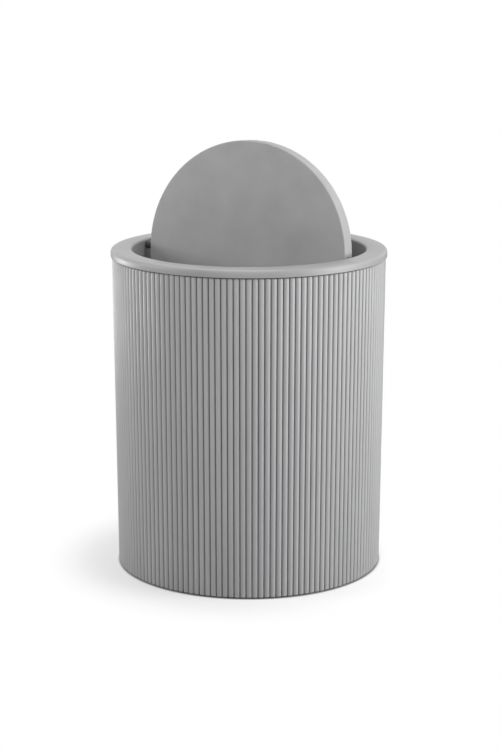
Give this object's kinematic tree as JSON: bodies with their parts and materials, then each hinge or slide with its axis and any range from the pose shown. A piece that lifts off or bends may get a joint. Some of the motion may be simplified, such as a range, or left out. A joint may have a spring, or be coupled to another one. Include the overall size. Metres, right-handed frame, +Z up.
{
  "type": "flip-lid trash can",
  "caption": "Round reeded trash can with an overhanging rim ring and a flat disc lid that flips on a cross axle; the ring and lid lift off for emptying.",
  "frame": {"origin": "on the floor under the middle of the can, on the plane of the foot pads' soles", "axes": "+Z up; +X along the lid's axle, to the right for someone at the front; +Y towards the back, the way the open lid leans"},
  "size_m": [0.2, 0.2, 0.3113],
  "materials": {
    "can_plastic": "satin moulded grey",
    "ring_plastic": "satin moulded grey",
    "lid_plastic": "satin moulded grey",
    "cap_plastic": "moulded grey",
    "sleeve_plastic": "moulded dark grey",
    "pad_rubber": "matte",
    "steel": "plain drawn wire"
  },
  "bodies": {
    "can": {"fluted_body": "can_plastic", "foot_pads": "pad_rubber"},
    "ring": {"lid_ring": "ring_plastic", "axle_cap_left": "cap_plastic", "axle_cap_right": "cap_plastic", "cap_screws": "steel", "stop_pads": "pad_rubber"},
    "lid": {"lid_top_shell": "lid_plastic", "lid_bottom_cover": "lid_plastic", "lid_axle": "steel", "spacer_sleeve_left": "sleeve_plastic", "spacer_sleeve_right": "sleeve_plastic"}
  },
  "joints": [
    {"name": "ring_lift", "type": "slide", "parent": "can", "child": "ring", "axis": [0, 0, 1], "range_m": [0, 0.1]},
    {"name": "lid_flip", "type": "hinge", "parent": "ring", "child": "lid", "pos_m": [0, -0.00193, 0.23], "axis": [1, 0, 0], "range_deg": [-86, 4]}
  ]
}
